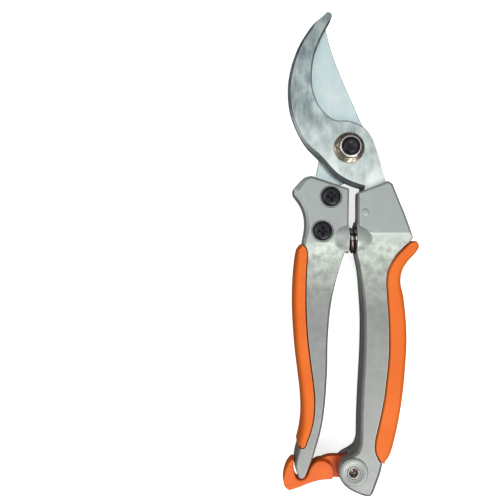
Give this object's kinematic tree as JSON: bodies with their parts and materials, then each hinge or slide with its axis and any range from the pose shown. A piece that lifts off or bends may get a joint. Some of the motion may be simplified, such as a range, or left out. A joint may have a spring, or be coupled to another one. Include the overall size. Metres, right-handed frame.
{
  "type": "pruning shears",
  "caption": "Bypass pruning shears with a hooked counter-blade, two cast handles with soft grips, a coil spring and a swinging latch across the handle ends.",
  "frame": {"origin": "on the pivot axis, at the flat back of the pivot bolt's head, which is the level of the surface that the shears lie on", "axes": "+Y from the pivot to the blade tips, +Z out of the front face (the one with the pivot nut), +X to the handle that carries the hook"},
  "size_m": [0.0566, 0.2027, 0.02],
  "materials": {
    "handle_paint": "die-cast aluminium, satin metallic grey paint",
    "grip_rubber": "matt orange soft grip",
    "latch_plastic": "orange moulded plastic",
    "hook_steel": "grey coated steel, ground edges",
    "blade_steel": "ground bright steel",
    "black_steel": "black oxide",
    "plated_steel": "yellow passivated zinc plate",
    "bush_brass": "plain turned",
    "spring_steel": "dark oiled spring steel",
    "rivet_brass": "formed tubular rivet"
  },
  "bodies": {
    "hook_side": {"right_handle": "handle_paint", "hook_blade": "hook_steel", "right_grip": "grip_rubber", "pivot_bolt": "black_steel", "pivot_nut": "plated_steel", "pivot_washer": "plated_steel", "pivot_bush": "bush_brass", "hook_pin": "handle_paint", "latch_rivet": "rivet_brass", "latch_washer": "plated_steel", "handle_spring": "spring_steel"},
    "blade_side": {"left_handle": "handle_paint", "cutting_blade": "blade_steel", "left_grip": "grip_rubber", "blade_screw_upper": "black_steel", "blade_screw_lower": "black_steel", "blade_nut_upper": "plated_steel", "blade_nut_lower": "plated_steel"},
    "latch": {"latch_lever": "latch_plastic"}
  },
  "joints": [
    {"name": "blade_open", "type": "hinge", "parent": "hook_side", "child": "blade_side", "pos_m": [0, 0, 0], "axis": [0, 0, -1], "range_deg": [0, 28], "deforming": ["handle_spring"]},
    {"name": "latch_release", "type": "hinge", "parent": "hook_side", "child": "latch", "pos_m": [0.0014, -0.1352, 0], "axis": [0, 0, 1], "range_deg": [0, 50]}
  ]
}
